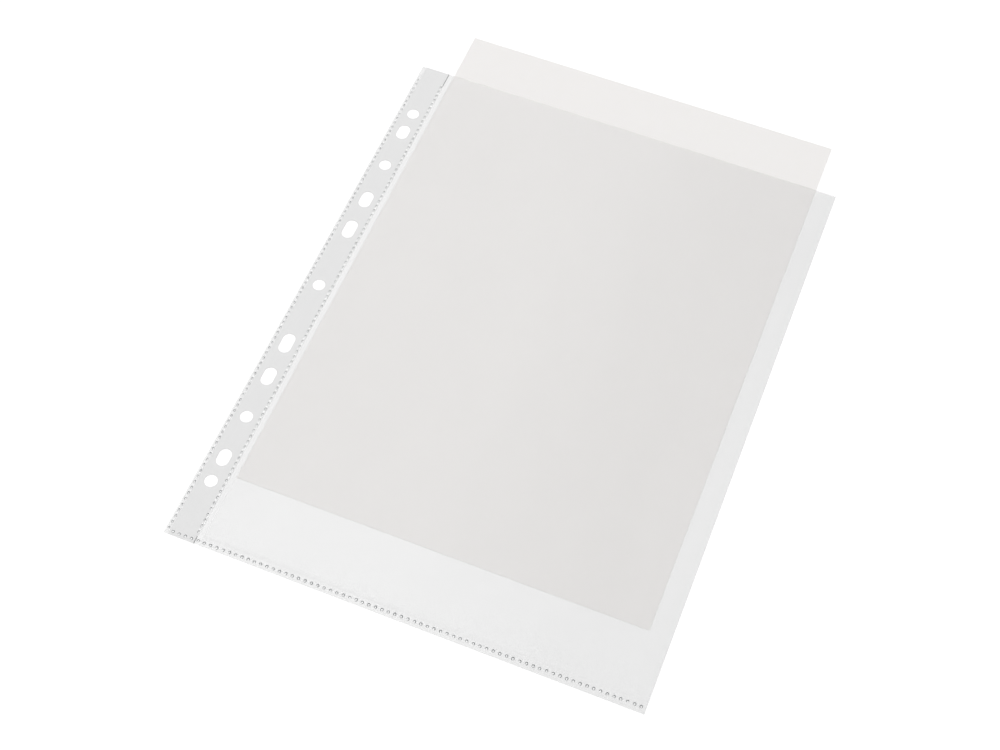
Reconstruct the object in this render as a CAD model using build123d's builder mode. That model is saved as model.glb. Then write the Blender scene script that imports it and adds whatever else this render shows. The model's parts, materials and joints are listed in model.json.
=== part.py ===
from build123d import *
import os

# A punched pocket of clear polypropylene film for ring binders, lying flat, with the sheet that it
# holds standing a little out of its mouth. Millimetres. The origin is the centre of the middle
# punched hole on the face that the pocket lies on. +X runs from the binding strip to the fold,
# +Y from the foot weld to the open mouth, and +Z up through the layers.

# The sheet that the pocket is made for, and how far it stands out of the mouth
sheet_width = 210.0
sheet_length = 297.0
sheet_thickness = 0.11
sheet_stand_out = 30.0

# Film of the pocket, and the air between the sheet and the film on each side of it
film = 0.12
sheet_air = 0.19

# Room round the sheet inside the pocket
shoulder_gap = 0.25
fold_room = 11.1
head_room = 8.0

# Binding strip: how far film and tape reach from the line of holes
strip_reach = 8.4
tape_reach_out = 6.2
tape_reach_in = 7.2
tape_thickness = 0.15
foot_to_middle_hole = 152.0

# Punched holes: round ones and slots, in pairs at equal distances from the middle hole
hole_diameter = 6.5
round_pair_places = (82.5, 120.0)
slot_pairs = ((37.5, 11.4), (58.0, 10.3), (106.5, 9.4))

# Rib of melted film that the welding bar leaves along the tape, on which the pocket bends
rib_radius = 0.14
rib_rise = 0.10
rib_gap = 0.02
bend_gap = 0.15

# Slopes by which the front film climbs from the welds to its level over the sheet
shoulder_flat = 0.5
shoulder_run = 2.1
hem_flat = 3.6
heel_run = 2.2

# Band of the front film that the side weld holds down, and the slit round the part that lifts
margin_width = 18.0
panel_slit = 0.1

# Welds: rows of small rings pressed up round each weld point
weld_pitch = 3.22
side_weld_diameter = 1.3
foot_weld_diameter = 1.7
weld_rim = 0.3
weld_height = 0.06
side_weld_edge_gap = 0.1
side_weld_end = 10.0
foot_weld_height = 2.6
foot_weld_fold_gap = 2.8

# Levels of the layers
strip_top = 2 * film
tape_top = strip_top + tape_thickness
sheet_low = film + sheet_air
front_low = sheet_low + sheet_thickness + sheet_air
front_high = front_low + film

# Places across the pocket
rib_x = tape_reach_in + rib_gap + rib_radius
strip_film_end = rib_x + rib_radius
pocket_start = strip_film_end + bend_gap
shoulder_bend = pocket_start + shoulder_flat
shoulder_top = shoulder_bend + shoulder_run
margin_end = shoulder_top + margin_width
sheet_left = shoulder_top + shoulder_gap
fold_edge = sheet_left + sheet_width + fold_room
fold_radius = front_high / 2
fold_start = fold_edge - fold_radius

# Places along the pocket
sleeve_length = sheet_length + head_room
foot = -foot_to_middle_hole
mouth = foot + sleeve_length
middle = (foot + mouth) / 2
hem_bend = foot + hem_flat
heel_top = hem_bend + heel_run
sheet_foot = mouth + sheet_stand_out - sheet_length


def plate(left, right, low, high):
    """Rectangle of the sketch in hand, from its four sides."""
    with Locations(((left + right) / 2, (low + high) / 2)):
        Rectangle(right - left, high - low)


def punched_layer(left, right):
    """One layer of the binding strip in the sketch in hand, with all its holes."""
    plate(left, right, foot, mouth)
    Circle(hole_diameter / 2, mode=Mode.SUBTRACT)
    for place in round_pair_places:
        with Locations((0, place), (0, -place)):
            Circle(hole_diameter / 2, mode=Mode.SUBTRACT)
    for place, length in slot_pairs:
        with Locations((0, place), (0, -place)):
            SlotOverall(length, hole_diameter, rotation=90, mode=Mode.SUBTRACT)


def climbing_film(start, bend, end):
    """Section of the front film: flat on the back film from start to bend, then climbing to end."""
    Polygon(
        (start, film),
        (bend, film),
        (end, front_low),
        (end, front_high),
        (bend, strip_top),
        (start, strip_top),
        align=None,
    )


def weld_rings(diameter):
    """Rings round the weld points at the locations in hand."""
    Circle(diameter / 2)
    Circle(diameter / 2 - weld_rim, mode=Mode.SUBTRACT)


def save(part, name):
    """Label a finished piece and write it to its own file."""
    part.label = name
    export_step(part, f"parts/{name}.step")


os.makedirs("parts", exist_ok=True)

# Binding strip: both films and the reinforcing tape, all punched through

with BuildPart() as strip_back_film:
    with BuildSketch():
        punched_layer(-strip_reach, strip_film_end)
    extrude(amount=film)
save(strip_back_film.part, "strip_back_film")

# The front film carries the rib, which stands on it from end to end

with BuildPart() as strip_front_film:
    with BuildSketch(Plane.XY.offset(film)):
        punched_layer(-strip_reach, strip_film_end)
    extrude(amount=film)
    with BuildSketch(Plane.XZ.offset(-mouth)):
        with Locations((rib_x, strip_top + rib_rise)):
            Circle(rib_radius)
    extrude(amount=sleeve_length)
save(strip_front_film.part, "strip_front_film")

with BuildPart() as reinforcing_tape:
    with BuildSketch(Plane.XY.offset(strip_top)):
        punched_layer(-tape_reach_out, tape_reach_in)
    extrude(amount=tape_thickness)
save(reinforcing_tape.part, "reinforcing_tape")

# Welds along both edges of the tape, stopping short of the mouth and the foot

side_weld_count = int((sleeve_length - 2 * side_weld_end) / weld_pitch) + 1
outer_weld_x = -tape_reach_out - side_weld_edge_gap - side_weld_diameter / 2
inner_weld_x = tape_reach_in - side_weld_edge_gap / 2 - side_weld_diameter / 2

with BuildPart() as outer_edge_welds:
    with BuildSketch(Plane.XY.offset(strip_top)):
        with Locations((outer_weld_x, middle)):
            with GridLocations(0, weld_pitch, 1, side_weld_count):
                weld_rings(side_weld_diameter)
    extrude(amount=weld_height)
save(outer_edge_welds.part, "outer_edge_welds")

with BuildPart() as inner_edge_welds:
    with BuildSketch(Plane.XY.offset(tape_top)):
        with Locations((inner_weld_x, middle)):
            with GridLocations(0, weld_pitch, 1, side_weld_count):
                weld_rings(side_weld_diameter)
    extrude(amount=weld_height)
save(inner_edge_welds.part, "inner_edge_welds")

# Foot weld where it crosses the strip

strip_foot_weld_count = int((tape_reach_out + tape_reach_in - foot_weld_diameter) / weld_pitch) + 1
foot_weld_y = foot + foot_weld_height

with BuildPart() as strip_foot_welds:
    with BuildSketch(Plane.XY.offset(tape_top)):
        with Locations(((tape_reach_in - tape_reach_out) / 2, foot_weld_y)):
            with GridLocations(weld_pitch, 0, strip_foot_weld_count, 1):
                weld_rings(foot_weld_diameter)
    extrude(amount=weld_height)
save(strip_foot_welds.part, "strip_foot_welds")

# Back film of the pocket, on which everything else lies

with BuildPart() as back_film:
    with BuildSketch():
        plate(pocket_start, fold_start, foot, mouth)
    extrude(amount=film)
save(back_film.part, "back_film")

# Fold along the far side, where the back film turns over into the front film

with BuildPart() as side_fold:
    with BuildSketch(Plane.XZ.offset(-mouth)):
        with Locations((fold_start, fold_radius)):
            Circle(fold_radius)
            Circle(fold_radius - film, mode=Mode.SUBTRACT)
    extrude(amount=sleeve_length)
    split(bisect_by=Plane.YZ.offset(fold_start))
save(side_fold.part, "side_fold")

# Front film: a hem at the foot and a shoulder at the strip, mitred where their slopes meet

mitre = Plane(origin=(shoulder_bend, hem_bend, 0), z_dir=(-heel_run, shoulder_run, 0))

with BuildPart() as front_shoulder:
    with BuildSketch(Plane.XZ.offset(-mouth)):
        climbing_film(pocket_start, shoulder_bend, shoulder_top)
    extrude(amount=sleeve_length)
    split(bisect_by=mitre)
save(front_shoulder.part, "front_shoulder")

with BuildPart() as front_hem:
    with BuildSketch(Plane.YZ.offset(pocket_start)):
        climbing_film(foot, hem_bend, heel_top)
    extrude(amount=fold_start - pocket_start)
    split(bisect_by=mitre, keep=Keep.BOTTOM)
save(front_hem.part, "front_hem")

# Front film: the band that the side weld holds down, and the panel that lifts at the mouth

with BuildPart() as front_margin:
    with BuildSketch(Plane.XY.offset(front_low)):
        plate(shoulder_top, margin_end, heel_top, mouth)
    extrude(amount=film)
save(front_margin.part, "front_margin")

with BuildPart() as front_film:
    with BuildSketch(Plane.XY.offset(front_low)):
        plate(margin_end + panel_slit, fold_start - panel_slit, heel_top + panel_slit, mouth)
    extrude(amount=film)
save(front_film.part, "front_film")

# Foot weld across the pocket, counted from the fold

foot_weld_span = fold_edge - foot_weld_fold_gap - shoulder_bend - foot_weld_diameter / 2
foot_weld_count = int(foot_weld_span / weld_pitch) + 1
last_foot_weld = fold_edge - foot_weld_fold_gap
first_foot_weld = last_foot_weld - (foot_weld_count - 1) * weld_pitch

with BuildPart() as foot_welds:
    with BuildSketch(Plane.XY.offset(strip_top)):
        with Locations(((first_foot_weld + last_foot_weld) / 2, foot_weld_y)):
            with GridLocations(weld_pitch, 0, foot_weld_count, 1):
                weld_rings(foot_weld_diameter)
    extrude(amount=weld_height)
save(foot_welds.part, "foot_welds")

# The sheet in the pocket

with BuildPart() as insert_sheet:
    with BuildSketch(Plane.XY.offset(sheet_low)):
        plate(sheet_left, sheet_left + sheet_width, sheet_foot, sheet_foot + sheet_length)
    extrude(amount=sheet_thickness)
save(insert_sheet.part, "insert_sheet")
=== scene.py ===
"""Dresses a punched pocket of embossed film, and the office sheet that it holds."""

import json
import logging
import math
import random
from dataclasses import dataclass, field
from enum import Enum
from typing import Callable, Sequence

import bmesh
import bpy
from mathutils import Matrix, Vector
from mathutils.geometry import delaunay_2d_cdt


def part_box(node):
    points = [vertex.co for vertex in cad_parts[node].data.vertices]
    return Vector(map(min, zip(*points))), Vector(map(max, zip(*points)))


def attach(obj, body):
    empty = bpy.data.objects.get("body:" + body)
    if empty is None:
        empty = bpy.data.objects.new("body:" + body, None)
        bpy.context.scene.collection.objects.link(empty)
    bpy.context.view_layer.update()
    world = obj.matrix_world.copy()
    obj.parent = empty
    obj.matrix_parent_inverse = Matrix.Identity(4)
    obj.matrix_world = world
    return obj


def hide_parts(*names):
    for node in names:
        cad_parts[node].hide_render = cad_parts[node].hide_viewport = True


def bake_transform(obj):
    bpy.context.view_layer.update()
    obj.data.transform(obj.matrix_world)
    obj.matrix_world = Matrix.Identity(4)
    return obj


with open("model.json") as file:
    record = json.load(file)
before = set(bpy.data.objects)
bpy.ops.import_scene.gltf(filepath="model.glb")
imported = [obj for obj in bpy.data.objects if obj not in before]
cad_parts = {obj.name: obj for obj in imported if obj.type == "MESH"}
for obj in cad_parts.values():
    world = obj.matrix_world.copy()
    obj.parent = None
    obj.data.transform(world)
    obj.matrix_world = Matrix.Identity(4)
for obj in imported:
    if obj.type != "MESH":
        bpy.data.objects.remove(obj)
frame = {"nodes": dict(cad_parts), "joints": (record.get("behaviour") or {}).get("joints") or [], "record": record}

log = logging.getLogger("sheet_protector")

Tree = bpy.types.NodeTree
Socket = bpy.types.NodeSocket
Material = bpy.types.Material
Point = tuple[float, float, float]
Span = tuple[float, float]

MM = 0.001
# Air between two films that touch, so that no two faces lie in one place.
AIR = 0.008 * MM
# The attribute that keeps each point's place on the flat film, also where the film bends.
FLAT_PLACE = "flat_place"
POLYPROPYLENE_IOR = 1.49
PAPER_IOR = 1.5
WHITE = "ffffff"
# Numbers of a welded piece's two finishes, in the order in which it takes them: grey weld film in painted shade,
# and white film with painted glints.
MELTED_PAINTED_SHADE, STRAINED_PAINTED_GLINT = 0, 1


class Body(str, Enum):
    """The bodies of the frame that the pieces move with."""

    STRIP = "strip"
    POCKET = "pocket"
    FRONT = "front"
    SHEET = "sheet"


class Slot(str, Enum):
    """The finishes that the record names."""

    FILM = "film"
    TAPE = "tape"
    WELD = "weld"
    PAPER = "paper"


def linear(hex_colour: str) -> tuple[float, float, float, float]:
    """Turns an sRGB hex colour into the linear colour that a shader takes.

    Args:
        hex_colour: Six hex digits, red first.

    Returns:
        Red, green, blue and a full alpha, linear.
    """
    parts = [int(hex_colour[i : i + 2], 16) / 255 for i in (0, 2, 4)]
    toned = [c / 12.92 if c <= 0.04045 else ((c + 0.055) / 1.055) ** 2.4 for c in parts]
    return (*toned, 1.0)


def ease(value: float, start: float, end: float) -> float:
    """Climbs smoothly from 0 at start to 1 at end.

    Args:
        value: Where along the climb.
        start: Where it begins.
        end: Where it is done.

    Returns:
        The share climbed, from 0 to 1.
    """
    share = min(1.0, max(0.0, (value - start) / (end - start)))
    return share * share * (3 - 2 * share)


def even(start: float, end: float, count: int) -> list[float]:
    """Places from start to end, both included, with count equal gaps between them."""
    return [start + (end - start) * i / count for i in range(count + 1)]


def spread(start: float, end: float, step: float, slack: float = 1e-6) -> list[float]:
    """Evenly spaced places from start to end, both included.

    Args:
        start: The first place.
        end: The last place.
        step: The widest gap between two of them.
        slack: Share of a step that rounding may add without one more place.

    Returns:
        The places in order.
    """
    return even(start, end, max(1, math.ceil((end - start) / step - slack)))


# Finishes


def add(tree: Tree, kind: str, links: dict | None = None, **settings: object) -> bpy.types.Node:
    """Adds one shader node with its settings, values and links.

    Args:
        tree: The node tree that gets it.
        kind: Blender's name for the node type, without the ShaderNode that all start with.
        links: A value or an output socket for each input, by name or number.
        settings: The node's own settings, such as its operation.

    Returns:
        The new node.
    """
    made = tree.nodes.new("ShaderNode" + kind)
    for name, value in settings.items():
        setattr(made, name, value)
    for key, value in (links or {}).items():
        if isinstance(value, Socket):
            tree.links.new(value, made.inputs[key])
        else:
            made.inputs[key].default_value = value
    return made


def grain(tree: Tree, place: Socket, pitch_mm: float, length: float = 1.0,
          detail: float = 2.0) -> Socket:
    """A noise whose blobs are about pitch_mm apart on the real surface.

    Args:
        tree: The material's tree.
        place: The place on the flat film or sheet, in metres.
        pitch_mm: Distance between two blobs, in millimetres.
        length: How many times longer a blob is along the web than across it.
        detail: Octaves of finer noise in it.

    Returns:
        The noise's value, from 0 to 1.
    """
    scaled = add(tree, "Mapping", {"Vector": place, "Scale": (1.0, 1.0 / length, 1.0)})
    noise = add(tree, "TexNoise", {
        "Vector": scaled.outputs["Vector"], "Scale": 1 / (pitch_mm * MM), "Detail": detail})
    return noise.outputs["Fac"]


def stopped(tree: Tree, solidity: float, shadow: float) -> Socket:
    """The share of the light that a thin layer stops, which is smaller for its shadow.

    Args:
        tree: The material's tree.
        solidity: The share that the eye sees stopped.
        shadow: The part of it that shadows see, since the layer scatters most light onwards.

    Returns:
        The share, from 0 to 1.
    """
    in_shadow = add(tree, "LightPath").outputs["Is Shadow Ray"]
    return add(tree, "MapRange", {0: in_shadow, 3: solidity, 4: solidity * shadow}).outputs[0]


def see_through(tree: Tree, face: Socket, share: Socket | float) -> Socket:
    """Lets the light that a thin layer doesn't stop pass straight through it.

    Args:
        tree: The material's tree.
        face: The shader for what it stops.
        share: The share that it stops.

    Returns:
        The layer's shader.
    """
    clear = add(tree, "BsdfTransparent")
    return add(tree, "MixShader", {0: share, 1: clear.outputs[0], 2: face}).outputs[0]


def looked_at(tree: Tree) -> Socket:
    """1 where the camera sees a face itself, mirrored or through glass, and 0 for other light.

    Args:
        tree: The tree of the material or of the room.

    Returns:
        The value, 0 or 1.
    """
    ray = add(tree, "LightPath")
    seen = ray.outputs["Is Camera Ray"]
    for other in ("Is Glossy Ray", "Is Transmission Ray"):
        seen = add(tree, "Math", {0: seen, 1: ray.outputs[other]}, operation="MAXIMUM").outputs[0]
    return seen


@dataclass(frozen=True)
class Relief:
    """Fine grain in a face."""

    pitch_mm: float  # distance between two grains
    depth_mm: float  # height of a grain
    strength: float  # share of a grain's slope that turns the light
    length: float = 1.0  # how many times longer a grain is along the web than across it
    detail: float = 2.0  # octaves of finer grains

    def normal(self, tree: Tree, place: Socket) -> Socket:
        """Adds the grain's nodes.

        Args:
            tree: The material's tree.
            place: The place on the flat film or sheet.

        Returns:
            The way that the grained face looks.
        """
        height = grain(tree, place, self.pitch_mm, self.length, self.detail)
        bump = add(tree, "Bump", {
            "Strength": self.strength, "Distance": self.depth_mm * MM, "Height": height})
        return bump.outputs["Normal"]


@dataclass(frozen=True)
class Finish:
    """A finish as a node material."""

    name: str
    flat: bool = True  # whether its pattern lies on the flat film or sheet and bends with it

    def build(self) -> Material:
        """Makes the material.

        Returns:
            The finished material.
        """
        material = bpy.data.materials.new(self.name)
        material.use_nodes = True
        tree = material.node_tree
        tree.nodes.clear()
        add(tree, "OutputMaterial", {"Surface": self.surface(tree)})
        return material

    def place(self, tree: Tree) -> Socket:
        """The place that its pattern is drawn by.

        Args:
            tree: The material's tree.

        Returns:
            The place, in metres.
        """
        if self.flat:
            return add(tree, "Attribute", attribute_name=FLAT_PLACE).outputs["Vector"]
        return add(tree, "TexCoord").outputs["Object"]

    def surface(self, tree: Tree) -> Socket:
        """Adds the finish's own nodes to its tree and gives the shader of the last one."""
        raise NotImplementedError


@dataclass(frozen=True)
class EmbossedPolypropylene(Finish):
    """Clear polypropylene film, cast on a finely embossed roller.

    The emboss spreads what the film mirrors into a soft sheen, and takes a little of the light
    that passes, so one layer on white reads as pale grey and two layers as a darker one.
    """

    name: str = "embossed_polypropylene_film"
    tone: str = "b8b8b8"  # of what the film scatters
    solidity: float = 0.107  # share of the light that each of its faces stops or mirrors
    sheen: float = 0.09  # share of that which it mirrors
    roughness: float = 0.2
    shadow: float = 0.3  # share of the solidity that shadows see
    # The real bumps are about 0.3 mm apart, too fine for the picture, so they are drawn coarser.
    emboss: Relief = Relief(pitch_mm=0.9, depth_mm=0.004, strength=0.05)
    cloud_mm: float = 45.0  # width of its faint clouds
    cloud_length: float = 3.0  # how many times longer a cloud is along the web
    cloud_edge: Span = (0.3, 0.7)  # values of the noise in a clear and in a cloudy place
    cloud_shares: Span = (0.97, 1.03)  # share of the solidity in both
    speck_mm: float = 7.0  # distance between two of its faint pale specks
    speck_edge: Span = (0.03, 0.06)  # where a speck's edge starts and ends, as shares of that
    speck_share: float = 0.55  # share of the solidity inside a speck
    clear_from_mm: float | None = None  # place across the web from which it is stretched thin and drawn clearer
    clear_run_mm: float = 0.3  # width over which it gets clearer
    clear_share: float = 0.42  # share of the solidity that the film keeps there: it is clearer when stretched, and partly painted light that lifts the slope beside the strip, which misses the key light's reflection

    def surface(self, tree: Tree) -> Socket:
        """Adds the film's nodes.

        Args:
            tree: The material's tree.

        Returns:
            The film's shader.
        """
        place = self.place(tree)
        bump = self.emboss.normal(tree, place)
        body = add(tree, "BsdfDiffuse", {"Color": linear(self.tone), "Normal": bump})
        mirror = add(tree, "BsdfGlossy", {
            "Color": linear(WHITE), "Roughness": self.roughness, "Normal": bump})
        face = add(tree, "MixShader", {0: self.sheen, 1: body.outputs[0], 2: mirror.outputs[0]})
        clouds = grain(tree, place, self.cloud_mm, self.cloud_length)
        specks = add(tree, "TexVoronoi", {"Vector": place, "Scale": 1 / (self.speck_mm * MM)})
        uneven = [(clouds, self.cloud_edge, self.cloud_shares),
                  (specks.outputs["Distance"], self.speck_edge, (self.speck_share, 1.0))]
        # Painted light, in part: the film is drawn clearer from here on, which lightens the slope beside the
        # strip.
        if self.clear_from_mm is not None:
            across = add(tree, "SeparateXYZ", {0: place}).outputs["X"]
            start = self.clear_from_mm * MM
            uneven.append((across, (start, start + self.clear_run_mm * MM), (1.0, self.clear_share)))
        share = stopped(tree, self.solidity, self.shadow)
        for value, edge, shares in uneven:
            part = add(tree, "MapRange", {
                0: value, 1: edge[0], 2: edge[1], 3: shares[0], 4: shares[1]},
                interpolation_type="SMOOTHSTEP").outputs[0]
            share = add(tree, "Math", {0: share, 1: part}, operation="MULTIPLY").outputs[0]
        return see_through(tree, face.outputs[0], share)


@dataclass(frozen=True)
class PatchyFinish(Finish):
    """A finish whose colour wavers between two tones."""

    tone: str = WHITE
    patch_tone: str = WHITE  # its colour in a patch
    patch_mm: float = 1.0  # distance between two patches
    patch_length: float = 1.0  # how many times longer a patch is along the web
    roughness: float = 0.5
    specular: float = 0.5  # how much it mirrors, where 0.5 is a clean smooth face
    ior: float = POLYPROPYLENE_IOR
    relief: Relief | None = None

    def patches(self, tree: Tree, place: Socket) -> Socket:
        """How far each place lies inside a patch, from 0 to 1."""
        return grain(tree, place, self.patch_mm, self.patch_length)

    def surface(self, tree: Tree) -> Socket:
        """Adds the nodes of its face.

        Args:
            tree: The material's tree.

        Returns:
            The face's shader.
        """
        place = self.place(tree)
        tint = add(tree, "Mix", {
            0: self.patches(tree, place), 6: linear(self.tone), 7: linear(self.patch_tone)},
            data_type="RGBA")
        face = add(tree, "BsdfPrincipled", {
            "Base Color": tint.outputs[2], "Roughness": self.roughness, "IOR": self.ior,
            "Specular IOR Level": self.specular})
        if self.relief:
            tree.links.new(self.relief.normal(tree, place), face.inputs["Normal"])
        return face.outputs[0]


@dataclass(frozen=True)
class MilkyTape(PatchyFinish):
    """Polypropylene tape with a milky filler, calendered to a satin face.

    The filler makes it read as an even pale grey over the film, and the rollers leave faint
    streaks along it.
    """

    name: str = "milky_polypropylene_tape"
    tone: str = "e3e3e3"
    patch_tone: str = "e0e0e0"
    patch_mm: float = 0.9
    patch_length: float = 14.0
    roughness: float = 0.5
    specular: float = 0.3
    relief: Relief = Relief(pitch_mm=0.9, depth_mm=0.003, strength=0.3, length=14.0)
    solidity: float = 0.9  # share of the light that each of its faces stops or mirrors
    shadow: float = 0.22  # share of the solidity that shadows see

    def surface(self, tree: Tree) -> Socket:
        """Adds the tape's nodes and gives its shader, which lets some light through."""
        share = stopped(tree, self.solidity, self.shadow)
        return see_through(tree, super().surface(tree), share)


@dataclass(frozen=True)
class MeltedFilmPaintedShade(PatchyFinish):
    """Film melted by a heated bar and pressed into steep little walls.

    The walls are clear, but their slopes mirror the room away from the light. Its grey tones are
    painted shade that stands for that dark reflection, so the walls read as fine grey lines.
    """

    name: str = "melted_polypropylene_weld_painted_shade"
    flat: bool = False
    # Painted shade: grey tones for the dark room that the steep clear walls mirror.
    tone: str = "808283"
    patch_tone: str = "9d9fa0"
    patch_mm: float = 1.1
    roughness: float = 0.3
    specular: float = 0.15
    patch_edge: Span = (0.3, 0.7)  # values of the noise where a patch starts and is full
    solidity: float = 0.95  # share of the light that it stops or mirrors

    def patches(self, tree: Tree, place: Socket) -> Socket:
        """The patches, with plainer edges than their noise has."""
        noise = {0: super().patches(tree, place), 1: self.patch_edge[0], 2: self.patch_edge[1]}
        return add(tree, "MapRange", noise, interpolation_type="SMOOTHSTEP").outputs[0]

    def surface(self, tree: Tree) -> Socket:
        """Adds the melted film's nodes and gives its shader, which is not quite opaque."""
        return see_through(tree, super().surface(tree), self.solidity)


@dataclass(frozen=True)
class StrainedFilmPaintedGlint(PatchyFinish):
    """Film stretched past its yield beside a weld, where polypropylene turns white.

    Its near-white tone is partly that whitening and partly painted glints, the light caught on the
    welds' slopes; it reads as small bright flecks between and inside the grey weld marks.
    """

    name: str = "strain_whitened_polypropylene_painted_glint"
    flat: bool = False
    # Painted glints, partly stress-whitened film: near-white tones.
    tone: str = "fbfbfb"
    patch_tone: str = "f2f3f3"
    patch_mm: float = 0.4
    roughness: float = 0.45


@dataclass(frozen=True)
class UncoatedPaper(PatchyFinish):
    """Office paper of 80 grams, calendered but not coated.

    It is matt and a warm off-white, with a faint cloudiness, and with short fibres that only
    show close up. The real ones are about 0.03 mm wide, so they are drawn coarser.
    """

    name: str = "uncoated_office_paper"
    tone: str = "f0eeed"
    patch_tone: str = "efedeb"
    patch_mm: float = 6.0
    roughness: float = 0.92
    specular: float = 0.15
    ior: float = PAPER_IOR
    relief: Relief = Relief(pitch_mm=0.5, depth_mm=0.006, strength=0.25, length=2.5, detail=4.0)


@dataclass(frozen=True)
class MattWhiteFloor(Finish):
    """Matt white studio board.

    It keeps the pocket's faint shadow and fades to plain white further out.
    """

    name: str = "matt_white_floor"
    flat: bool = False
    tone: str = "a0a0a0"  # the part of its colour that the lamps light
    lift: float = 0.73  # light added to that where it is looked at, which makes it white
    side_lift: float = 0.35  # light added to that for all else
    fade: Span = (0.30, 0.75)  # distances from its middle between which it fades, in metres

    def surface(self, tree: Tree) -> Socket:
        """Adds the floor's nodes.

        Args:
            tree: The material's tree.

        Returns:
            The floor's shader.
        """
        away = add(tree, "VectorMath", {0: self.place(tree)}, operation="LENGTH")
        far = add(tree, "MapRange", {
            0: away.outputs["Value"], 1: self.fade[0], 2: self.fade[1]},
            interpolation_type="SMOOTHSTEP").outputs[0]
        seen = looked_at(tree)
        plain = add(tree, "Math", {0: seen, 1: far}, operation="MULTIPLY").outputs[0]
        added = add(tree, "MapRange", {0: seen, 3: self.side_lift, 4: self.lift}).outputs[0]
        matt = add(tree, "BsdfDiffuse", {"Color": linear(self.tone)})
        glow = add(tree, "Emission", {"Color": linear(WHITE), "Strength": added})
        near = add(tree, "AddShader", {0: matt.outputs[0], 1: glow.outputs[0]})
        white = add(tree, "Emission", {"Color": linear(WHITE), "Strength": 1.0})
        mix = add(tree, "MixShader", {0: plain, 1: near.outputs[0], 2: white.outputs[0]})
        return mix.outputs[0]


# Meshes


@dataclass(frozen=True)
class PunchedHole:
    """One hole of the strip, round or a slot along the strip."""

    y: float  # place of its middle along the strip
    radius: float  # of its round ends
    straight: float  # half the length of its straight part

    def outline(self, steps: int) -> list[tuple[float, float]]:
        """Points round the hole.

        Args:
            steps: How many points.

        Returns:
            The points in order.
        """
        points = []
        for i in range(steps):
            turn = 2 * math.pi * (i + 0.5) / steps
            middle = self.y + math.copysign(self.straight, math.sin(turn))
            points.append((self.radius * math.cos(turn), middle + self.radius * math.sin(turn)))
        return points

    def clears(self, x: float, y: float, room: float) -> bool:
        """Whether a point lies at least room outside the hole."""
        along = max(0.0, abs(y - self.y) - self.straight)
        return math.hypot(x, along) > self.radius + room


@dataclass
class MeshBench:
    """Collects the corners and faces of one piece before it becomes an object."""

    corners: list[Point] = field(default_factory=list)
    faces: list[tuple[int, ...]] = field(default_factory=list)
    finishes: list[int] = field(default_factory=list)  # the number of each face's finish

    def face(self, indices: Sequence[int], finish: int = 0) -> None:
        """Adds one face with the number of its finish."""
        self.faces.append(tuple(indices))
        self.finishes.append(finish)

    def loft(self, rings: Sequence[Sequence[Point]], finish: int = 0) -> None:
        """Skins a row of rings, with a cap at both ends.

        Args:
            rings: The rings, each with the same number of points.
            finish: Number of the finish.
        """
        first = len(self.corners)
        size = len(rings[0])
        for ring in rings:
            self.corners.extend(ring)
        last = first + (len(rings) - 1) * size
        for a in range(first, last, size):
            b = a + size
            for i in range(size):
                j = (i + 1) % size
                self.face((a + i, a + j, b + j, b + i), finish)
        self.face([first + i for i in reversed(range(size))], finish)
        self.face([last + i for i in range(size)], finish)

    def dome(self, ring: Sequence[Point], top: Point, finish: int = 0, narrow: float = 0.6,
             drop: float = 0.3) -> None:
        """A low closed dome: a base ring, a smaller ring above it and its top.

        Args:
            ring: The base ring.
            top: The highest point.
            finish: Number of the finish.
            narrow: Width of the smaller ring, as a share of the base ring's.
            drop: How far it lies below the top, as a share of the dome's height.
        """
        first = len(self.corners)
        size = len(ring)
        self.corners.extend(ring)
        self.corners.extend((top[0] + (x - top[0]) * narrow, top[1] + (y - top[1]) * narrow,
                             top[2] - (top[2] - z) * drop) for x, y, z in ring)
        self.corners.append(top)
        for i in range(size):
            j = (i + 1) % size
            self.face((first + i, first + j, first + size + j, first + size + i), finish)
            self.face((first + size + i, first + size + j, first + 2 * size), finish)
        self.face([first + i for i in reversed(range(size))], finish)

    def piece(self, name: str, materials: Sequence[Material], smooth_deg: float = 35.0,
              flat: bool = True) -> bpy.types.Object:
        """Makes the object, with outward normals, finishes and smooth shading below an angle.

        Args:
            name: The piece's name.
            materials: Its finishes, in the order of their numbers.
            smooth_deg: Edges sharper than this stay sharp.
            flat: Whether its points' places on the flat film are stored for the materials.

        Returns:
            The new object.
        """
        mesh = bpy.data.meshes.new(name)
        mesh.from_pydata(self.corners, [], self.faces)
        for material in materials:
            mesh.materials.append(material)
        mesh.polygons.foreach_set("material_index", self.finishes)
        work = bmesh.new()
        work.from_mesh(mesh)
        bmesh.ops.recalc_face_normals(work, faces=work.faces)
        work.to_mesh(mesh)
        work.free()
        mesh.shade_smooth()
        mesh.set_sharp_from_angle(angle=math.radians(smooth_deg))
        if flat:
            stored = mesh.attributes.new(FLAT_PLACE, "FLOAT_VECTOR", "POINT")
            stored.data.foreach_set("vector", [c for v in mesh.vertices for c in v.co])
        made = bpy.data.objects.new(name, mesh)
        bpy.context.scene.collection.objects.link(made)
        return made


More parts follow.
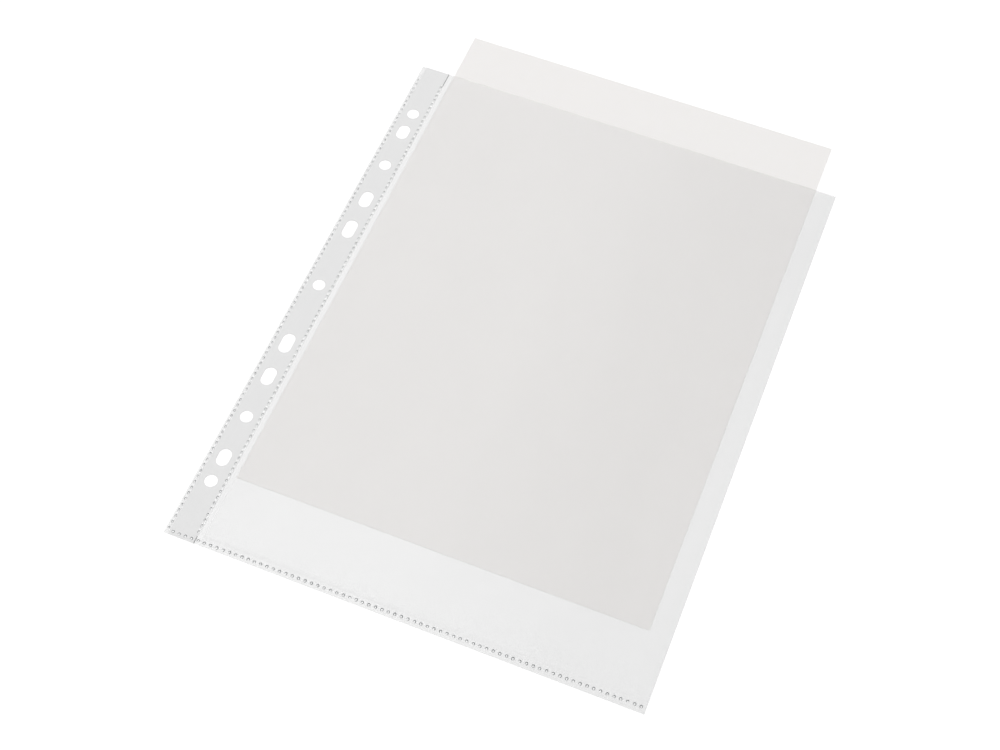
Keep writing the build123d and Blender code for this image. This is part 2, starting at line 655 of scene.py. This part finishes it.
@dataclass(frozen=True)
class FlatPlan:
    """The plan of a flat film: a rectangle with columns and rows of points, and punched holes."""

    columns: Sequence[float]  # their places across the web, the two sides included
    rows: Sequence[float]  # their places along the web, both ends included
    holes: Sequence[PunchedHole] = ()
    hole_steps: int = 48  # points round each hole
    hole_room: float = 0.7 * MM  # how far the other points stay outside a hole

    def cells(self) -> tuple[list[tuple[float, float]], list[tuple[int, ...]]]:
        """Joins the points to faces, rectangles or, where there are holes, triangles.

        Returns:
            The points, and the faces as numbers of points.
        """
        if not self.holes:
            width = len(self.columns)
            points = [(x, y) for y in self.rows for x in self.columns]
            corners = [r * width + c for r in range(len(self.rows) - 1) for c in range(width - 1)]
            return points, [(i, i + 1, i + width + 1, i + width) for i in corners]
        points = [(x, y) for y in self.rows for x in self.columns
                  if all(hole.clears(x, y, self.hole_room) for hole in self.holes)]
        edges = []
        for hole in self.holes:
            first = len(points)
            points.extend(hole.outline(self.hole_steps))
            edges.extend((first + i, first + (i + 1) % self.hole_steps)
                         for i in range(self.hole_steps))
        # In millimetres, because the tolerance suits numbers near 1.
        scaled = [Vector((x / MM, y / MM)) for x, y in points]
        all_triangles, tolerance = 0, 1e-6
        found = delaunay_2d_cdt(scaled, edges, [], all_triangles, tolerance)
        places = [(v.x * MM, v.y * MM) for v in found[0]]
        kept = []
        for cell in found[2]:
            x = sum(places[i][0] for i in cell) / len(cell)
            y = sum(places[i][1] for i in cell) / len(cell)
            if all(hole.clears(x, y, 0.0) for hole in self.holes):
                kept.append(tuple(cell))
        return places, kept

    def film(self, low: Callable[[float, float], float], thickness: float) -> MeshBench:
        """Gives the plan its height and thickness.

        Args:
            low: Height of the film's lower face at a place.
            thickness: The film's thickness.

        Returns:
            The closed film.
        """
        places, cells = self.cells()
        bench = MeshBench()
        count = len(places)
        lower = [(x, y, low(x, y)) for x, y in places]
        bench.corners = lower + [(x, y, z + thickness) for x, y, z in lower]
        # Edges with a face on one side only, in a dictionary because that keeps their order.
        rims: dict[tuple[int, int], bool] = {}
        for cell in cells:
            bench.face(tuple(reversed(cell)))
            bench.face([i + count for i in cell])
            for i, j in zip(cell, (*cell[1:], cell[0])):
                if (j, i) in rims:
                    del rims[(j, i)]
                else:
                    rims[(i, j)] = True
        for i, j in rims:
            bench.face((i, j, j + count, i + count))
        return bench


def dress(piece: bpy.types.Object, replaced: Sequence[str],
          body: Body | None = None) -> None:
    """Says what a piece stands for and what it rides on.

    Args:
        piece: The piece.
        replaced: The frame's nodes that it stands for.
        body: The body that carries it, or None for a piece that rides on no body.
    """
    if body is not None:
        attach(piece, body.value)
    if replaced:
        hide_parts(*replaced)
    log.info("%s: %d faces", piece.name, len(piece.data.polygons))


# Sub-assemblies


@dataclass(frozen=True)
class Sizes:
    """The places and levels of the layers, all read from the frame."""

    film: float  # thickness of the film
    strip_left: float  # the strip's free edge
    rib_x: float  # the rib's middle, on which the pocket bends
    shoulder_bend: float  # where the front film starts to climb beside the strip
    shoulder_top: float  # where it has reached its level over the sheet
    fold_start: float  # where the flat films end and the fold begins
    fold_edge: float  # the fold's outermost line
    foot: float
    hem_bend: float  # where the front film starts to climb at the foot
    hem_top: float  # where it has reached its level over the sheet
    lift_start: float  # from where it lifts when the mouth opens
    mouth: float
    front_low: float  # level of the front film's lower face over the sheet
    tape: tuple[Vector, Vector]  # the tape's lowest and highest corner
    holes: tuple[PunchedHole, ...]

    @classmethod
    def read(cls) -> "Sizes":
        """Works the sizes out from the frame's nodes, joints and mounts.

        Returns:
            The sizes.
        """
        strip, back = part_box("strip_back_film"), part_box("back_film")
        film = strip[1].z
        level = 1.5 * film  # the front film lies below this where it touches the back film
        shoulder, hem = ([v.co for v in frame["nodes"][n].data.vertices if v.co.z < level]
                         for n in ("front_shoulder", "front_hem"))
        axes = {joint["name"]: joint.get("pos_m") for joint in frame["joints"]}
        return cls(
            film=film, strip_left=strip[0].x, rib_x=axes["page_turn"][0],
            shoulder_bend=max(p.x for p in shoulder), shoulder_top=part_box("front_shoulder")[1].x,
            fold_start=back[1].x, fold_edge=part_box("side_fold")[1].x, foot=back[0].y,
            hem_bend=max(p.y for p in hem), hem_top=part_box("front_hem")[1].y,
            lift_start=axes["mouth_open"][1], mouth=back[1].y,
            front_low=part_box("front_film")[0].z, tape=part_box("reinforcing_tape"),
            holes=cls.punched())

    @staticmethod
    def punched() -> tuple[PunchedHole, ...]:
        """The holes that the record's mounts name, each pair on both sides of the middle.

        Returns:
            The holes, the one in the middle first.
        """
        holes = []
        for mount in frame["record"]["mounts"]:
            dims = mount["dims"]
            radius = dims.get("hole_r_mm", dims.get("r_mm", 0.0)) * MM
            place = dims.get("spacing_y_mm", 0.0) * MM / 2
            straight = max(0.0, dims.get("slot_length_mm", 0.0) * MM / 2 - radius)
            if radius:
                holes.append(PunchedHole(place, radius, straight))
            if radius and place:
                holes.append(PunchedHole(-place, radius, straight))
        return tuple(holes)

    def front_height(self, x: float, y: float) -> float:
        """Height of the front film's lower face, which is low along the strip and the foot."""
        climb = (ease(x, self.shoulder_bend, self.shoulder_top)
                 * ease(y, self.hem_bend, self.hem_top))
        return AIR + self.film + (self.front_low - self.film) * climb

    @property
    def front_thickness(self) -> float:
        """Thickness of the front film between the air on both its sides."""
        return self.film - 2 * AIR


@dataclass
class FilmWeb:
    """The folded web of film: back film, fold, and front film in parts."""

    sizes: Sizes
    glossy: Material  # of the front film and the fold
    matt: Material  # of the back film
    seam_film_painted_light: Material  # of the front film along the strip, drawn clearer beside it, partly as painted light
    row_gap: float = 4.0 * MM  # widest gap between two rows of points
    wide_gap: float = 24.0 * MM  # the same where the film stays flat
    beside_holes: Span = (1.2 * MM, 2.9 * MM)  # how far two columns stand outside the holes
    before_bend: float = 0.1 * MM  # how far the strip's last column stands before the rib
    bend_reach: float = 1.5 * MM  # width over which the films bend
    bend_steps: int = 9
    climb_steps: int = 8  # up the slopes beside the strip and at the foot
    panel_steps: int = 22  # across a half of the front film
    fold_steps: int = 10  # round the fold
    pressed_gap: float = 0.002 * MM  # half the gap inside the fold where it is pressed flat
    fold_smooth_deg: float = 50.0

    def build(self) -> None:
        """Makes all its pieces."""
        self.back()
        self.seam()
        self.hem()
        self.panels()
        self.fold()

    def strip_columns(self) -> list[float]:
        """Columns across the strip, close to the punched holes, up to the bend."""
        near, wide = (self.sizes.holes[0].radius + off for off in self.beside_holes)
        return [self.sizes.strip_left, -wide, -near, 0.0, near, wide,
                self.sizes.rib_x - self.before_bend]

    def bend(self) -> list[float]:
        """Columns across the bend, from the rib's middle to where the film is straight again."""
        return [self.sizes.rib_x + off for off in even(0.0, self.bend_reach, self.bend_steps)]

    def hem_rows(self) -> list[float]:
        """Rows up the hem at the foot, with close ones where the front film climbs."""
        s = self.sizes
        return [s.foot, (s.foot + s.hem_bend) / 2, *even(s.hem_bend, s.hem_top, self.climb_steps),
                s.lift_start]

    def rows(self) -> list[float]:
        """Rows from the foot to the mouth."""
        lifting = spread(self.sizes.lift_start, self.sizes.mouth, self.row_gap)
        return [*self.hem_rows(), *lifting[1:]]

    def across_bend(self, piece: bpy.types.Object) -> None:
        """Bakes the placement of a film that runs from the strip to the pocket beside the rib into its points."""
        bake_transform(piece)

    def front(self, name: str, plan: FlatPlan, material: Material) -> bpy.types.Object:
        """Makes a part of the front film from its plan."""
        film = plan.film(self.sizes.front_height, self.sizes.front_thickness)
        return film.piece(name, [material])

    def back(self) -> None:
        """The back film in one piece, from the strip's edge across the bend to the fold."""
        s = self.sizes
        wide = spread(s.rib_x + self.bend_reach, s.fold_start, self.wide_gap)[1:]
        plan = FlatPlan([*self.strip_columns(), *self.bend(), *wide], self.rows(), s.holes)
        piece = plan.film(lambda x, y: 0.0, s.film).piece("back_web", [self.matt])
        self.across_bend(piece)
        dress(piece, ["strip_back_film", "back_film"])

    def seam(self) -> None:
        """The front film's part on the strip, across the bend and up the shoulder."""
        s = self.sizes
        bend = self.bend()
        climb = even(bend[-1], s.shoulder_top, self.climb_steps)
        plan = FlatPlan([*self.strip_columns(), *bend, *climb[1:]], self.rows(), s.holes)
        piece = self.front("front_seam_web", plan, self.seam_film_painted_light)
        self.across_bend(piece)
        dress(piece, ["strip_front_film", "front_shoulder"])

    def hem(self) -> None:
        """The front film's part that is welded down along the foot."""
        s = self.sizes
        plan = FlatPlan(spread(s.shoulder_top, s.fold_start, self.wide_gap), self.hem_rows())
        piece = self.front("front_foot_hem", plan, self.glossy)
        dress(piece, ["front_hem"], Body.POCKET)

    def panels(self) -> None:
        """The front film's two halves, each from its closed side to the middle."""
        s = self.sizes
        middle = (s.shoulder_top + s.fold_start) / 2
        rows = spread(s.lift_start, s.mouth, self.wide_gap)
        for name, side, node in (("front_panel_strip_side", s.shoulder_top, "front_margin"),
                                 ("front_panel_fold_side", s.fold_start, "front_film")):
            plan = FlatPlan(sorted(even(side, middle, self.panel_steps)), rows)
            piece = self.front(name, plan, self.glossy)
            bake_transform(piece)
            dress(piece, [node])

    def fold(self) -> None:
        """The fold along the far side, round over the sheet's height and flat at the foot."""
        s = self.sizes
        reach = s.fold_edge - s.fold_start
        turns = even(-math.pi / 2, math.pi / 2, self.fold_steps)
        rings = []
        for y in self.rows():
            half = (s.front_height(s.fold_start, y) + s.film) / 2
            inside = (reach - s.film, max(half - s.film, self.pressed_gap))
            rings.append([(s.fold_start + wide * math.cos(t), y, half + high * math.sin(t))
                          for (wide, high), way in (((reach, half), turns), (inside, turns[::-1]))
                          for t in way])
        bench = MeshBench()
        bench.loft(rings)
        piece = bench.piece("side_fold_edge", [self.glossy], self.fold_smooth_deg)
        dress(piece, ["side_fold"], Body.POCKET)


@dataclass
class TapedStrip:
    """The milky tape on the strip, and the rib that the welding bar leaves along it."""

    sizes: Sizes
    milky: Material  # of the tape
    melted_painted_shade: Material  # of the rib's bare ends, grey with painted shade
    strained_painted_glint: Material  # of its pressed part, pale with painted glints
    row_gap: float = 4.0 * MM  # widest gap between two rows of points in the tape
    beside_holes: float = 1.2 * MM  # how far a column of points stands outside the holes
    edge_round: float = 0.03 * MM  # radius of the tape's upper edges
    edge_steps: int = 2
    sharp_deg: float = 60.0  # least angle of an edge that is rounded
    rib_radius: float = 0.14 * MM
    rib_uneven: Span = (0.85, 1.0)  # least and greatest share of that radius
    rib_rise: float = 0.10 * MM  # height of the rib's middle above the tape's lower face
    rib_sides: int = 10
    rib_step: float = 1.0 * MM  # distance between two of its sections
    rib_smooth_deg: float = 50.0
    pressed: Span = (1.2, 0.75)  # shares of its width and height left between the weld marks
    bare_ends: Span = (4.5 * MM, 9.0 * MM)  # length of its bare end at the foot and at the mouth
    seed: int = 11

    def build(self) -> None:
        """Makes both its pieces."""
        self.tape()
        self.rib()

    def tape(self) -> None:
        """The tape with its punched holes and its rounded upper edges."""
        s = self.sizes
        low, high = s.tape
        near = s.holes[0].radius + self.beside_holes
        plan = FlatPlan([low.x, -near, 0.0, near, high.x],
                        spread(s.foot, s.mouth, self.row_gap), s.holes)
        piece = plan.film(lambda x, y: low.z, high.z - low.z).piece("milky_tape", [self.milky])
        work = bmesh.new()
        work.from_mesh(piece.data)
        sharp = [e for e in work.edges
                 if len(e.link_faces) == 2 and e.calc_face_angle() > math.radians(self.sharp_deg)
                 and min(v.co.z for v in e.verts) > high.z - self.edge_round]
        bmesh.ops.bevel(work, geom=sharp, offset=self.edge_round, segments=self.edge_steps,
                        profile=0.5, affect="EDGES")
        work.to_mesh(piece.data)
        work.free()
        dress(piece, ["reinforcing_tape"], Body.STRIP)

    def rib(self) -> None:
        """The rib beside the tape, bare and grey with painted shade at both ends, flat and pale with painted
        glints between the marks.
        """
        s = self.sizes
        draw = random.Random(self.seed)
        bench = MeshBench()
        level = s.tape[0].z + self.rib_rise
        turns = [2 * math.pi * i / self.rib_sides for i in range(self.rib_sides)]
        stations = spread(s.foot, s.mouth, self.rib_step)
        low, high = s.foot + self.bare_ends[0], s.mouth - self.bare_ends[1]
        bare = (1.0, 1.0)
        for finish, (wide, tall), start, end in (
                (MELTED_PAINTED_SHADE, bare, s.foot, low), (STRAINED_PAINTED_GLINT, self.pressed, low, high),
                (MELTED_PAINTED_SHADE, bare, high, s.mouth)):
            rings = []
            for y in (y for y in stations if start <= y <= end):
                radius = self.rib_radius * draw.uniform(*self.rib_uneven)
                rings.append([(s.rib_x + wide * radius * math.cos(t), y,
                               level + tall * radius * math.sin(t)) for t in turns])
            bench.loft(rings, finish)
        finishes = [self.melted_painted_shade, self.strained_painted_glint]
        piece = bench.piece("melted_rib", finishes, self.rib_smooth_deg, flat=False)
        dress(piece, [], Body.STRIP)


@dataclass(frozen=True)
class WeldMark:
    """The form of one weld mark: a small open crater of melted film, its rim grey with painted shade, with a white
    lens in it that is a painted glint.

    A pair of numbers gives the least and the greatest value.
    """

    outer: float = 0.8 * MM  # outer radius across the strip
    rim: float = 0.4 * MM  # greatest width of its rim
    tall: Span = (0.95, 1.2)  # its length, as a share of its width
    widest_deg: float = 80.0  # direction from its middle in which its rim is widest
    lean_deg: float = 35.0  # how far that direction strays to both sides
    span_deg: Span = (240.0, 350.0)  # arc of its rim
    steps: int = 16
    thin_end: float = 0.4  # share of the rim's width and height left at both its ends
    uneven: Span = (0.9, 1.1)  # share of the rim's width from place to place
    # Points across the rim, as shares of half its width and of its height.
    section: tuple[Span, ...] = ((1, -0.1), (0.7, 0.75), (0, 1), (-0.7, 0.75), (-1, -0.1))
    rise: float = 0.07 * MM  # greatest height of the rim
    lens_share: float = 0.9  # radius of the lens, as a share of the room inside the rim
    lens_rise: float = 0.6  # height of the lens, as a share of the rim's
    lens_sides: int = 9
    lens_long: Span = (1.0, 1.35)  # stretch of the lens
    lens_uneven: Span = (0.8, 1.1)  # share of the lens's radius at a corner
    smooth_deg: float = 60.0


@dataclass(frozen=True)
class Flecks:
    """The white flecks beside each mark of a row: painted glints, partly strained film that has turned white."""

    count: int = 1  # how many stand beside a mark
    side: float = 0.95 * MM  # how far they stand to the side of the row's middle
    stray: float = 0.5 * MM  # how far they stray from there to both sides
    along: Span = (-0.15, 0.3)  # way from their mark to the next, as shares of the pitch
    size: Span = (0.12 * MM, 0.2 * MM)  # least and greatest radius


@dataclass
class WeldRow:
    """One row of weld marks with its white flecks; their rims are grey with painted shade, their lenses and flecks
    white with painted glints.
    """

    name: str
    node: str  # the frame's node that it stands for
    body: Body
    way: Vector  # unit step from one mark to the next
    pitch: float  # distance between two marks
    shift: Span  # how far it stands off the node's middle, across and along the strip
    seed: int
    mark: WeldMark = WeldMark()
    flecks: Flecks = Flecks()
    extra: int = 0  # marks added before the node's first one, down to the foot
    stray_mm: float = 0.08  # how far a mark strays from its place, each way

    def __post_init__(self) -> None:
        """Starts the row's mesh and its random draws."""
        self.bench = MeshBench()
        self.draw = random.Random(self.seed)

    def build(self, melted_painted_shade: Material, strained_painted_glint: Material) -> None:
        """Makes the row.

        Args:
            melted_painted_shade: The finish of the craters' rims, grey with painted shade.
            strained_painted_glint: The finish of the flecks and of the lenses, white with painted glints.
        """
        low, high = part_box(self.node)
        middle = (low + high) / 2 + Vector((*self.shift, 0))
        middle.z = low.z
        # The node's box is a mark longer than the row of its middles, which is half a pitch.
        count = round((high - low).dot(self.way) / self.pitch - 0.5) + 1
        for i in range(-self.extra, count):
            centre = middle + self.way * ((i - (count - 1) / 2) * self.pitch)
            off = [self.draw.uniform(-self.stray_mm, self.stray_mm) for _ in range(2)]
            self.crater(centre + Vector((*off, 0)) * MM)
            for _ in range(self.flecks.count):
                self.fleck(centre)
        piece = self.bench.piece(self.name, [melted_painted_shade, strained_painted_glint], self.mark.smooth_deg, flat=False)
        dress(piece, [self.node], self.body)

    def crater(self, centre: Vector) -> None:
        """An open ring with tapering ends, grey with painted shade, and a low white lens inside it, a painted
        glint.

        Args:
            centre: Middle of the mark, on the face that it stands on.
        """
        m, draw = self.mark, self.draw
        span = math.radians(draw.uniform(*m.span_deg))
        lean = draw.uniform(-m.lean_deg, m.lean_deg)
        start = math.radians(m.widest_deg + lean) - span / 2
        track = m.outer - m.rim / 2
        tall = draw.uniform(*m.tall)
        rings = []
        for k in range(m.steps + 1):
            turn = start + span * k / m.steps
            taper = m.thin_end + (1 - m.thin_end) * math.sin(math.pi * k / m.steps)
            wide = m.rim / 2 * taper * draw.uniform(*m.uneven)
            rings.append([(centre.x + (track + out * wide) * math.cos(turn),
                           centre.y + (track + out * wide) * tall * math.sin(turn),
                           centre.z + m.rise * taper * up) for out, up in m.section])
        self.bench.loft(rings, MELTED_PAINTED_SHADE)
        self.lens(centre, (track - m.rim / 2) * m.lens_share)

    def lens(self, centre: Vector, radius: float) -> None:
        """A low uneven dome of strained film, white with a painted glint.

        Args:
            centre: Its middle, on the face that it stands on.
            radius: Its mean radius.
        """
        m, draw = self.mark, self.draw
        lean = draw.uniform(0.0, math.pi)
        long = draw.uniform(*m.lens_long)
        ring = []
        for i in range(m.lens_sides):
            turn = 2 * math.pi * i / m.lens_sides
            reach = radius * draw.uniform(*m.lens_uneven)
            a, b = reach * long * math.cos(turn), reach / long * math.sin(turn)
            ring.append((centre.x + a * math.cos(lean) - b * math.sin(lean),
                         centre.y + a * math.sin(lean) + b * math.cos(lean), centre.z))
        self.bench.dome(ring, (centre.x, centre.y, centre.z + m.rise * m.lens_rise), STRAINED_PAINTED_GLINT)

    def fleck(self, centre: Vector) -> None:
        """A small white fleck beside this mark, on the way to the next, a painted glint.

        Args:
            centre: Middle of the mark.
        """
        f, draw = self.flecks, self.draw
        along = self.way * (self.pitch * draw.uniform(*f.along))
        side = Vector((self.way.y, self.way.x, 0)) * (f.side + draw.uniform(-f.stray, f.stray))
        self.lens(centre + along + side, draw.uniform(*f.size))


@dataclass
class OfficeSheet:
    """The sheet of paper, flat but for the faint cockle of paper that has stood in a room."""

    paper: Material
    cockle: float = 0.02 * MM
    waves: Span = (90.0 * MM, 117.0 * MM)  # length of its waves across and along the sheet
    cell: float = 9.0 * MM  # widest gap between two points

    def build(self) -> None:
        """Makes the sheet."""
        low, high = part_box("insert_sheet")
        plan = FlatPlan(spread(low.x, high.x, self.cell), spread(low.y, high.y, self.cell))

        def height(x: float, y: float) -> float:
            """Height of the sheet's lower face."""
            turns = (2 * math.pi * x / self.waves[0], 2 * math.pi * y / self.waves[1])
            return low.z + self.cockle * math.sin(turns[0]) * math.cos(turns[1])

        piece = plan.film(height, high.z - low.z).piece("office_sheet", [self.paper])
        dress(piece, ["insert_sheet"], Body.SHEET)


@dataclass
class SheetProtector:
    """The whole part: film web, taped strip, weld marks and sheet."""

    sizes: Sizes
    side_pitch: float = 3.207 * MM  # between two marks of the rows along the strip
    foot_pitch: float = 3.24 * MM  # between two marks of the rows along the foot
    foot_lean: float = 0.005  # rise of these towards the fold, as a share of their length
    clear_from_mm: float = 7.5  # place across the web from which the front film is thin and drawn clearer, partly as painted light
    matt_sheen: float = 0.03  # the sheen of the film's matt side

    def weld_rows(self) -> list[WeldRow]:
        """The four rows of weld marks, each off its node by as much as the real ones stand.

        Returns:
            The rows.
        """
        up, bar = Vector((0, 1, 0)), Vector((1, self.foot_lean, 0)).normalized()
        between = (0.36, 0.64)  # the way from one mark to the next on which its flecks stand
        return [
            WeldRow("outer_weld_marks", "outer_edge_welds", Body.STRIP, up, self.side_pitch,
                    shift=(-0.12 * MM, 1.34 * MM), seed=21, extra=3,
                    mark=WeldMark(outer=0.54 * MM, rim=0.28 * MM, tall=(1.3, 1.6), widest_deg=100),
                    flecks=Flecks(2, side=0.25 * MM, along=between, size=(0.18 * MM, 0.28 * MM))),
            WeldRow("inner_weld_marks", "inner_edge_welds", Body.STRIP, up, self.side_pitch,
                    shift=(0.36 * MM, 1.1 * MM), seed=22, extra=2,
                    mark=WeldMark(outer=0.62 * MM, rim=0.33 * MM, tall=(1.15, 1.4), widest_deg=100),
                    flecks=Flecks(4, side=0.1 * MM, along=between, size=(0.22 * MM, 0.34 * MM))),
            WeldRow("strip_foot_weld_marks", "strip_foot_welds", Body.STRIP, bar, self.foot_pitch,
                    shift=(0.0, -0.9 * MM), seed=23),
            WeldRow("foot_weld_marks", "foot_welds", Body.POCKET, bar, self.foot_pitch,
                    shift=(-0.39 * MM, -0.18 * MM), seed=24),
        ]

    def build(self) -> None:
        """Builds and dresses every piece."""
        glossy = EmbossedPolypropylene().build()
        matt = EmbossedPolypropylene(
            name="embossed_polypropylene_matt_side", sheen=self.matt_sheen).build()
        seam_film_painted_light = EmbossedPolypropylene(
            name="stretched_polypropylene_film_painted_light", clear_from_mm=self.clear_from_mm).build()
        # The welds' grey tones are painted shade, and their white ones painted glints.
        melted_painted_shade = MeltedFilmPaintedShade().build()
        strained_painted_glint = StrainedFilmPaintedGlint().build()
        FilmWeb(self.sizes, glossy, matt, seam_film_painted_light).build()
        TapedStrip(self.sizes, MilkyTape().build(), melted_painted_shade, strained_painted_glint).build()
        for row in self.weld_rows():
            row.build(melted_painted_shade, strained_painted_glint)
        OfficeSheet(UncoatedPaper().build()).build()


# Studio


@dataclass(frozen=True)
class Softbox:
    """A large soft light."""

    name: str
    place: Vector
    aim: Vector
    width: float
    height: float
    radiance: float  # how bright its face is, where 1 is the white of the room

    def build(self) -> None:
        """Hangs the light."""
        data = bpy.data.lights.new(self.name, "AREA")
        data.shape = "RECTANGLE"
        data.size, data.size_y = self.width, self.height
        data.energy = self.radiance * math.pi * self.width * self.height
        made = bpy.data.objects.new(self.name, data)
        made.location = self.place
        made.rotation_euler = (self.aim - self.place).to_track_quat("-Z", "Y").to_euler()
        bpy.context.scene.collection.objects.link(made)


@dataclass
class Studio:
    """White floor, soft lights and the camera."""

    # The point on the floor that the camera looks at.
    aim: Vector = field(default_factory=lambda: Vector((131.5, -8.04, 0)) * MM)
    distance: float = 0.78987  # from the camera to that point
    azimuth: float = 19.574  # direction of the view, 0 along +Y, in degrees
    elevation: float = 60.553  # height of the view above the floor, in degrees
    roll: float = 1.922  # turn of the camera about its own axis, in degrees
    lens_mm: float = 57.154
    sensor_mm: float = 36.0
    shift: Span = (-0.052, 0.0056)  # how far the frame is cropped off the axis, in widths
    clip: Span = (0.01, 50.0)  # nearest and farthest distance that the camera sees
    room_level: float = 0.35  # the room's light on the part, where 1 is what the camera sees
    floor_reach: float = 6.0  # half the width of the floor
    floor_drop: float = 0.05 * MM  # how far it lies below the part, so that no faces touch

    def camera(self) -> None:
        """Places the camera at the photograph's view."""
        a, e = math.radians(self.azimuth), math.radians(self.elevation)
        forward = Vector((-math.sin(a) * math.cos(e), math.cos(a) * math.cos(e), -math.sin(e)))
        data = bpy.data.cameras.new("camera")
        data.lens, data.sensor_width = self.lens_mm, self.sensor_mm
        data.shift_x, data.shift_y = self.shift
        data.clip_start, data.clip_end = self.clip
        made = bpy.data.objects.new("camera", data)
        roll = Matrix.Rotation(math.radians(self.roll), 3, "Z")
        turn = forward.to_track_quat("-Z", "Y").to_matrix() @ roll
        place = Matrix.Translation(self.aim - forward * self.distance)
        made.matrix_world = place @ turn.to_4x4()
        bpy.context.scene.collection.objects.link(made)
        bpy.context.scene.camera = made

    def room(self) -> None:
        """The room's even light, plain white where it is looked at."""
        world = bpy.data.worlds.new("white_room")
        bpy.context.scene.world = world
        world.use_nodes = True
        tree = world.node_tree
        tree.nodes.clear()
        level = add(tree, "MapRange", {0: looked_at(tree), 3: self.room_level, 4: 1.0})
        light = add(tree, "Background", {"Color": linear(WHITE), "Strength": level.outputs[0]})
        add(tree, "OutputWorld", {"Surface": light.outputs[0]})

    def floor(self) -> None:
        """The floor, one large face under the part."""
        r = self.floor_reach
        bench = MeshBench([(-r, -r, 0), (r, -r, 0), (r, r, 0), (-r, r, 0)])
        bench.face((0, 1, 2, 3))
        made = bench.piece("floor", [MattWhiteFloor().build()], flat=False)
        made.location = (self.aim.x, self.aim.y, -self.floor_drop)

    def lights(self) -> list[Softbox]:
        """The key light and the fill light.

        The key light hangs level, with an edge along the strip, so that its mirror image in the
        film ends in a line along the strip: the film is paler on the strip's side and darker on
        the fold's.

        Returns:
            The two lights.
        """
        above = Vector((-1.057, 1.2, 2.4))
        below = Vector((above.x, above.y, 0))
        opposite = self.aim + Vector((1.62, -1.25, 2.4))
        return [Softbox("key_softbox", above, below, width=1.6, height=3.6, radiance=2.6),
                Softbox("fill_softbox", opposite, self.aim, width=2.4, height=3.0, radiance=2.1)]

    def build(self) -> None:
        """Sets the whole studio up."""
        bpy.context.scene.view_settings.view_transform = "Standard"
        self.floor()
        self.room()
        for light in self.lights():
            light.build()
        self.camera()


def main() -> None:
    """Builds the part and its studio."""
    logging.basicConfig(level=logging.INFO, format="%(name)s %(message)s")
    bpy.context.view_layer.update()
    SheetProtector(Sizes.read()).build()
    Studio().build()


if __name__ == "__main__":
    main()
